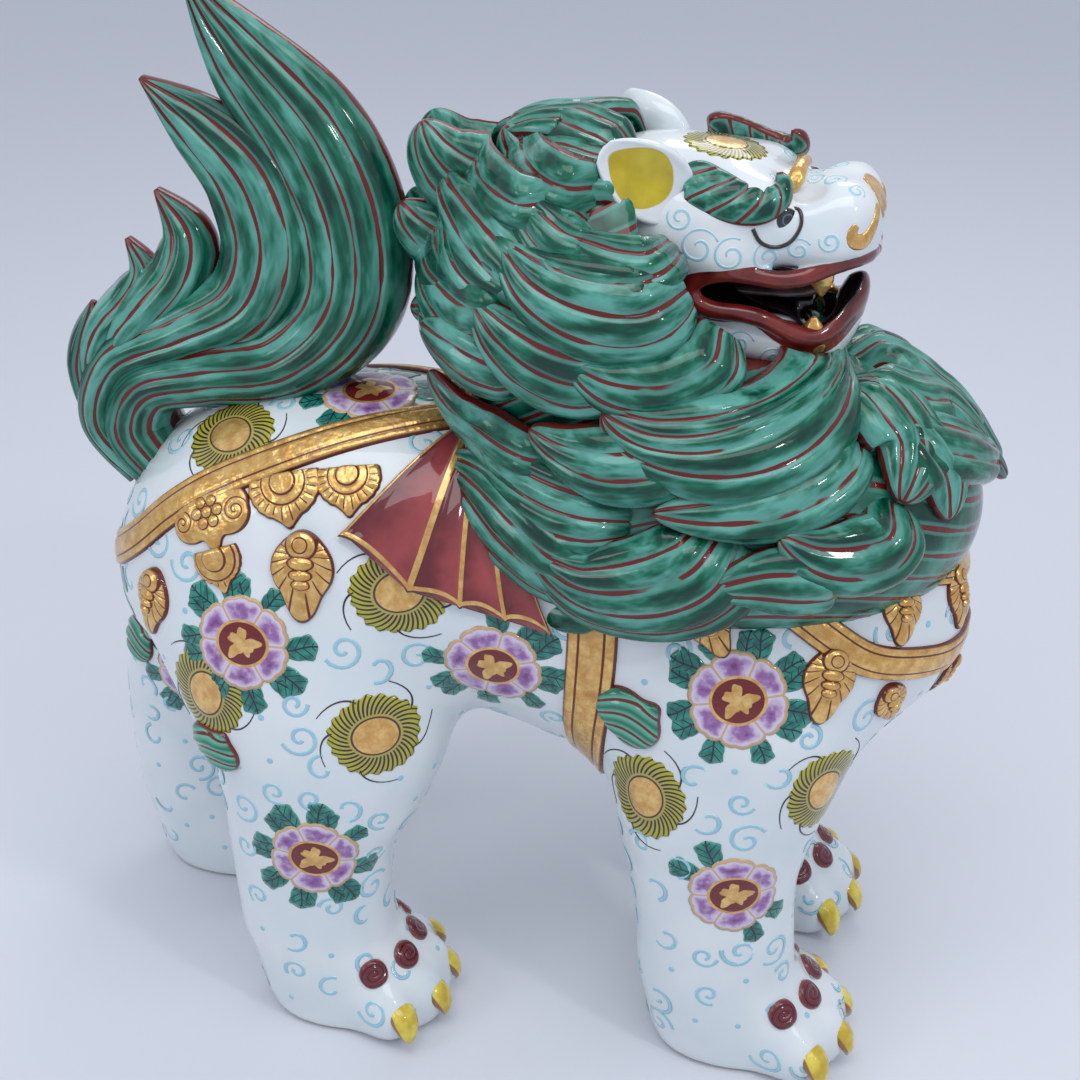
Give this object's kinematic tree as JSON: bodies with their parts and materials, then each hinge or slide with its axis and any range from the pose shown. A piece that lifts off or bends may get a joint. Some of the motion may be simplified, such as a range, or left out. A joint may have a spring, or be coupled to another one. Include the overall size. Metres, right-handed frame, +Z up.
{
  "type": "guardian lion statue",
  "caption": "Standing porcelain guardian lion with curled mane, flame tail, harness and clawed paws, a free-standing ornament that rests on the flat soles of its feet.",
  "frame": {"origin": "middle of the footprint of the whole statue, on the surface it stands on", "axes": "+X the way the lion faces, +Y its left side, +Z up"},
  "size_m": [0.3327, 0.1562, 0.3736],
  "materials": {
    "white_porcelain": "clear glaze over white porcelain with pale blue scrolls and painted flowers",
    "jade_enamel": "translucent green enamel shaded from mint to emerald, lined in red-brown",
    "gilding": "fired gold over glaze, lined in red-brown",
    "maroon_enamel": "maroon enamel",
    "citron_enamel": "yellow enamel",
    "eye_enamel": "white glaze with a black painted pupil",
    "dark_enamel": "dark red-black enamel inside the mouth"
  },
  "bodies": {
    "root": {"trunk_shell": "white_porcelain", "neck_shell": "jade_enamel", "leg_front_right": "white_porcelain", "leg_front_left": "white_porcelain", "leg_hind_right": "white_porcelain", "leg_hind_left": "white_porcelain", "claws_front_right": "citron_enamel", "claws_front_left": "citron_enamel", "claws_hind_right": "citron_enamel", "claws_hind_left": "citron_enamel", "toe_studs_front_right": "maroon_enamel", "toe_studs_front_left": "maroon_enamel", "toe_studs_hind_right": "maroon_enamel", "toe_studs_hind_left": "maroon_enamel", "head_shell": "white_porcelain", "lower_jaw": "white_porcelain", "tongue": "dark_enamel", "upper_fangs": "gilding", "lower_fangs": "gilding", "nose_knob": "gilding", "eye_right": "eye_enamel", "eye_left": "eye_enamel", "brow_right": "jade_enamel", "brow_left": "jade_enamel", "ear_right": "white_porcelain", "ear_left": "white_porcelain", "mane_nape_right": "jade_enamel", "mane_nape_left": "jade_enamel", "mane_temple_right": "jade_enamel", "mane_temple_left": "jade_enamel", "mane_cheek_right": "jade_enamel", "mane_cheek_left": "jade_enamel", "mane_jowl_right": "jade_enamel", "mane_jowl_left": "jade_enamel", "mane_shoulder_right": "jade_enamel", "mane_shoulder_left": "jade_enamel", "mane_breast_right": "jade_enamel", "mane_breast_left": "jade_enamel", "tail_flame_main": "jade_enamel", "tail_flame_second": "jade_enamel", "tail_flame_third": "jade_enamel", "tail_flame_fourth": "jade_enamel", "tail_flame_fifth": "jade_enamel", "crupper_strap": "gilding", "breast_strap_upper": "gilding", "breast_strap_lower": "gilding", "girth_strap": "gilding", "saddle_flap_right": "maroon_enamel", "saddle_flap_left": "maroon_enamel", "rump_cloud_sprigs": "gilding", "rosette_sprigs": "gilding", "leaf_pendants_rump": "gilding", "leaf_pendants_breast": "gilding", "elbow_tufts": "jade_enamel", "hock_tufts": "jade_enamel"}
  },
  "joints": []
}
